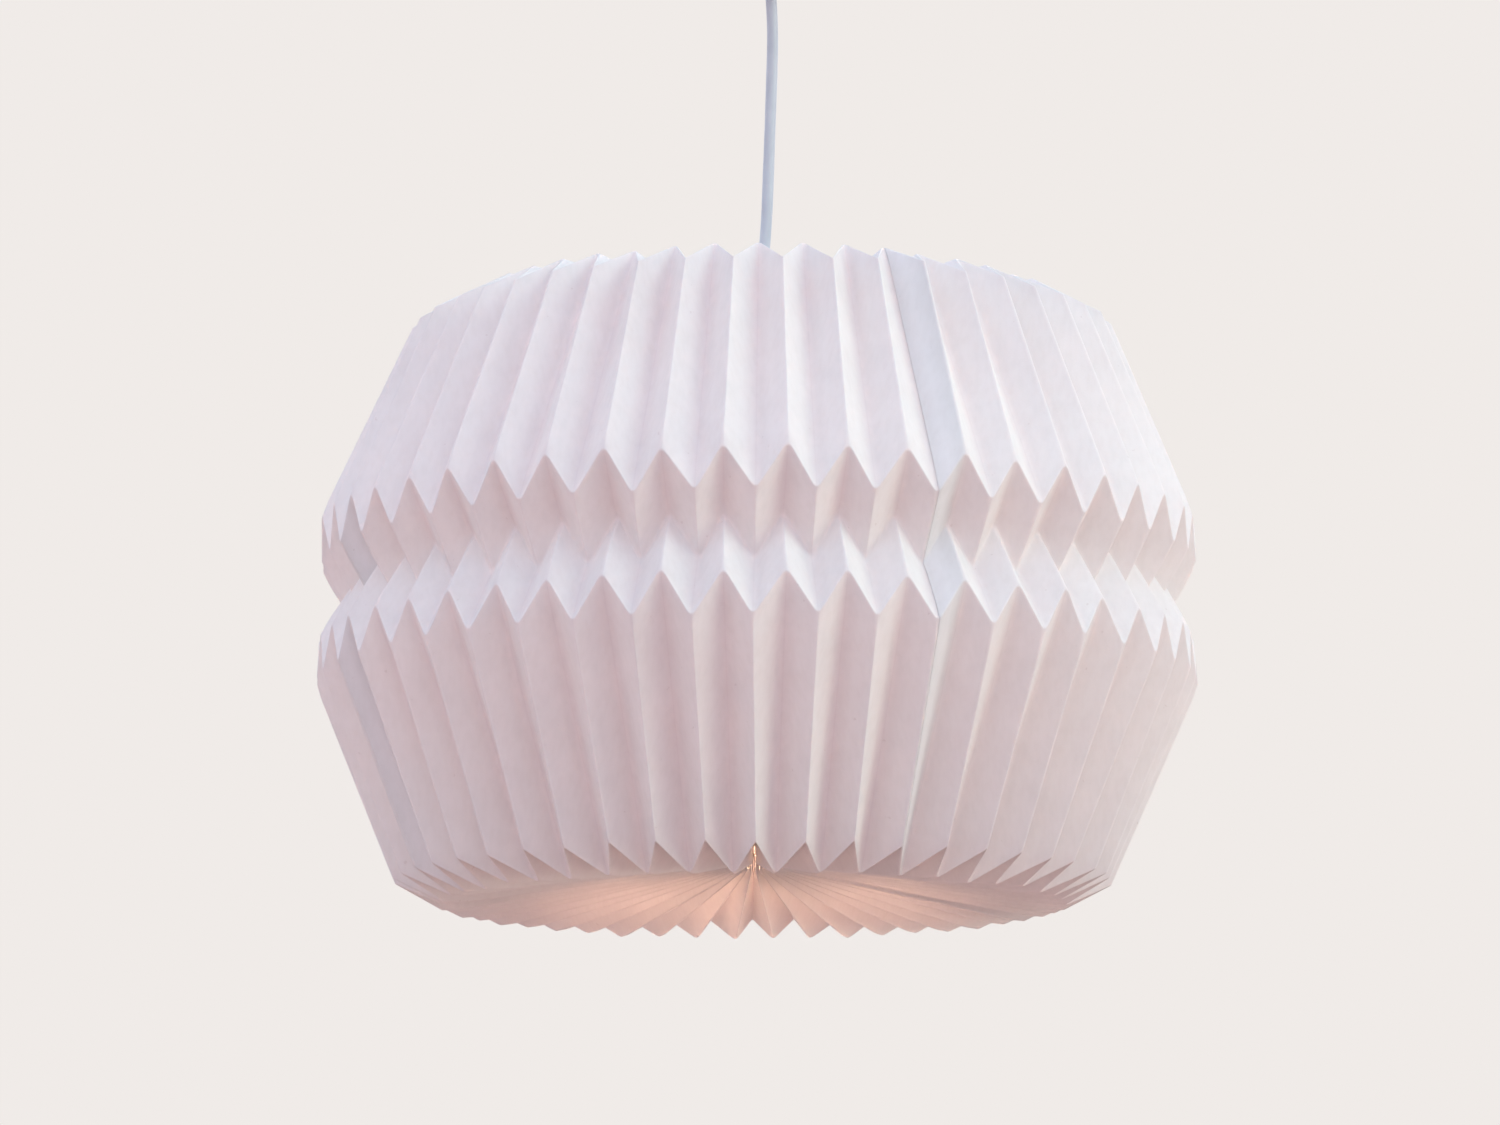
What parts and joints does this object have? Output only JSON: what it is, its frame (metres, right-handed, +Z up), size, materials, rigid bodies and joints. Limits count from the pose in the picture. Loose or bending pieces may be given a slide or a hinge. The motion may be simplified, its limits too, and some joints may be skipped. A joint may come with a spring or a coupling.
{
  "type": "paper lantern",
  "caption": "Round pleated white paper pendant lantern with a pinched waist, hung on a flex from a ceiling cup, with lampholder and bulb inside.",
  "frame": {"origin": "centre of the ceiling plate's upper face, where it meets the ceiling", "axes": "+Z up, so the lantern hangs towards -Z; a pair of plate screws lies along X; the cable entry is at +Y"},
  "size_m": [0.4404, 0.4404, 0.5294],
  "materials": {
    "steel": "zinc-plated",
    "screw_steel": "plated",
    "white_plastic": "fine matt moulded",
    "clear_plastic": "milky satin",
    "flex_sheath": "smooth soft plastic",
    "brown_core": "smooth",
    "blue_core": "smooth",
    "ceramic": "glazed",
    "brass": "bright",
    "lamp_metal": "rolled",
    "black_glass": "gloss",
    "glass": "clear",
    "filament": "phosphor coated",
    "board": "lacquered board",
    "paper": "uncoated white",
    "cotton_cord": "twisted cord"
  },
  "bodies": {
    "ceiling": {"ceiling_plate": "steel", "cord_clamp": "steel", "clamp_screws": "screw_steel", "canopy_cup": "white_plastic", "canopy_screws": "screw_steel", "terminal_block": "clear_plastic", "terminal_screws": "screw_steel", "flex_top": "flex_sheath", "brown_core_top": "brown_core", "blue_core_top": "blue_core"},
    "flex": {"flex_drop": "flex_sheath"},
    "holder": {"holder_cap": "white_plastic", "holder_body": "white_plastic", "cord_grip": "white_plastic", "flex_bottom": "flex_sheath", "brown_core_bottom": "brown_core", "blue_core_bottom": "blue_core", "contact_block": "ceramic", "contact_screws": "screw_steel", "screw_shell": "brass"},
    "contact": {"centre_contact": "brass"},
    "bulb": {"bulb_tip": "lamp_metal", "bulb_insulator": "black_glass", "bulb_screw_cap": "lamp_metal", "bulb_glass": "glass", "bulb_stem": "glass", "filament_rods": "filament", "filament_crowns": "screw_steel", "driver_board": "board"},
    "shade": {"shade_carrier": "clear_plastic", "shade_sheet_1": "paper", "shade_sheet_2": "paper", "shade_sheet_3": "paper", "shade_sheet_4": "paper", "top_gather_cord": "cotton_cord", "bottom_gather_cord": "cotton_cord"},
    "ring": {"shade_ring": "white_plastic"}
  },
  "joints": [
    {"name": "pendant_swing", "type": "hinge", "parent": "ceiling", "child": "flex", "pos_m": [0, 0, -0.0371], "axis": [0, 1, 0], "range_deg": [-12, 12]},
    {"name": "lantern_twist", "type": "hinge", "parent": "flex", "child": "holder", "pos_m": [0, 0, -0.201], "axis": [0, 0, 1], "range_deg": [-180, 180]},
    {"name": "bulb_travel", "type": "slide", "parent": "holder", "child": "contact", "axis": [0, 0, -1], "range_m": [0, 0.00363]},
    {"name": "bulb_unscrew", "type": "hinge", "parent": "contact", "child": "bulb", "pos_m": [0, 0, -0.27], "axis": [0, 0, -1], "range_deg": [0, 360]},
    {"name": "shade_travel", "type": "slide", "parent": "holder", "child": "shade", "axis": [0, 0, -1], "range_m": [0, 0.003]},
    {"name": "ring_unscrew", "type": "hinge", "parent": "shade", "child": "ring", "pos_m": [0, 0, -0.272], "axis": [0, 0, -1], "range_deg": [0, 360.2]}
  ],
  "couplings": [
    {"joint": "bulb_travel", "follows": "bulb_unscrew", "m_per_rad": 0.00057757},
    {"joint": "ring_unscrew", "follows": "shade_travel", "rad_per_m": 2094.4}
  ]
}
